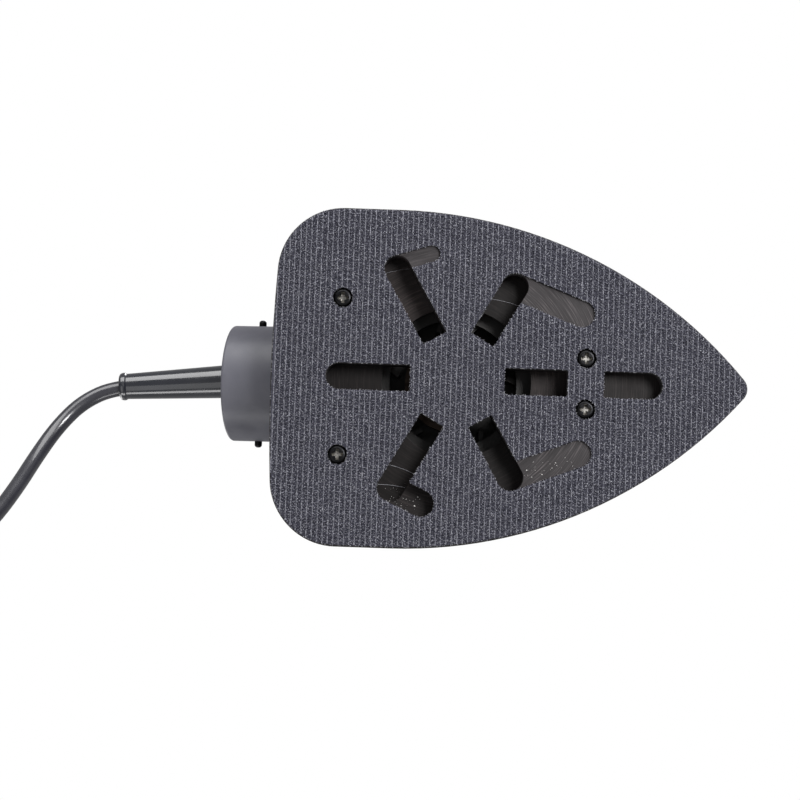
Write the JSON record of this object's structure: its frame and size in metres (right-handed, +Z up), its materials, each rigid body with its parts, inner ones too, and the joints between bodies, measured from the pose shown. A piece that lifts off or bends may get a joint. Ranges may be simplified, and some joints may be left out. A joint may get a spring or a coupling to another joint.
{
  "type": "detail mouse sander",
  "caption": "Palm-held detail sander with a pointed hook-and-loop sole, dust slots, rear dust collar and a mains cord.",
  "frame": {"origin": "where the motor shaft's axis meets the plane of the sole", "axes": "+X towards the tip of the sole, +Y to the left of someone holding the tool from behind, +Z up from the sole"},
  "size_m": [0.3413, 0.1393, 0.098],
  "materials": {
    "hook_fabric": "ribbed hook-and-loop",
    "pad_foam": "closed-cell foam",
    "plate_plastic": "moulded, satin",
    "black_screw": "blackened steel",
    "collar_plastic": "satin moulded",
    "shell_plastic": "fine spark texture",
    "grip_rubber": "soft overmould",
    "black_gloss": "glossy flexible vinyl",
    "cord_vinyl": "smooth vinyl",
    "switch_plastic": "polished",
    "switch_black": "moulded",
    "steel": "ground",
    "laminations": "stacked sheet edges",
    "copper_wire": "enamelled winding wire",
    "copper": "turned copper",
    "brass": "pressed",
    "carbon": "pressed carbon",
    "zinc": "die cast",
    "fan_plastic": "moulded",
    "leg_rubber": "polyurethane",
    "seal_felt": "felt",
    "capacitor_case": "potted"
  },
  "bodies": {
    "housing": {"lower_bearing_outer_ring": "steel", "upper_bearing_outer_ring": "steel", "stator_core": "laminations", "front_field_winding": "copper_wire", "rear_field_winding": "copper_wire", "left_brush": "carbon", "right_brush": "carbon", "left_brush_holder": "brass", "right_brush_holder": "brass", "left_brush_spring": "steel", "right_brush_spring": "steel", "upper_bearing_cup": "leg_rubber", "bearing_bracket": "zinc", "stator_screws": "steel", "fan_shroud": "fan_plastic", "dust_seal": "seal_felt", "dust_duct": "fan_plastic", "dust_collar": "collar_plastic", "bayonet_pins": "black_screw", "left_shell": "shell_plastic", "right_shell": "shell_plastic", "housing_screws": "black_screw", "top_grip": "grip_rubber", "switch_bezel": "switch_black", "rocker_pin": "steel", "switch_body": "switch_black", "strain_relief": "black_gloss", "cord_clamp": "switch_black", "cord_clamp_screws": "steel", "capacitor": "capacitor_case", "power_cord": "cord_vinyl", "cord_coil": "cord_vinyl", "cord_tail": "cord_vinyl", "plug_body": "black_gloss", "plug_pins": "brass"},
    "rotor": {"motor_shaft": "steel", "retaining_screw": "steel", "retaining_washer": "steel", "counterweight": "zinc", "fan": "fan_plastic", "armature_core": "laminations", "armature_winding": "copper_wire", "commutator": "copper", "pad_bearing_inner_ring": "steel", "pad_bearing_balls": "steel", "lower_bearing_inner_ring": "steel", "lower_bearing_balls": "steel", "upper_bearing_inner_ring": "steel", "upper_bearing_balls": "steel"},
    "sanding_base": {"hook_face": "hook_fabric", "foam_pad": "pad_foam", "base_plate": "plate_plastic", "leg_screws": "black_screw", "rear_left_leg": "leg_rubber", "rear_right_leg": "leg_rubber", "front_left_leg": "leg_rubber", "front_right_leg": "leg_rubber", "pad_bearing_outer_ring": "steel"},
    "switch_rocker": {"rocker_button": "switch_plastic"}
  },
  "joints": [
    {"name": "motor_spin", "type": "hinge", "parent": "housing", "child": "rotor", "pos_m": [0, 0, 0.05], "axis": [0, 0, 1], "continuous": true},
    {"name": "base_orbit", "type": "hinge", "parent": "rotor", "child": "sanding_base", "pos_m": [0.0008, 0, 0.012], "axis": [0, 0, 1], "continuous": true},
    {"name": "switch_tilt", "type": "hinge", "parent": "housing", "child": "switch_rocker", "pos_m": [0.0445, 0, 0.05337], "axis": [0, 1, 0], "range_deg": [-14, 0]}
  ],
  "couplings": [
    {"joint": "base_orbit", "follows": "motor_spin", "ratio": -1}
  ]
}
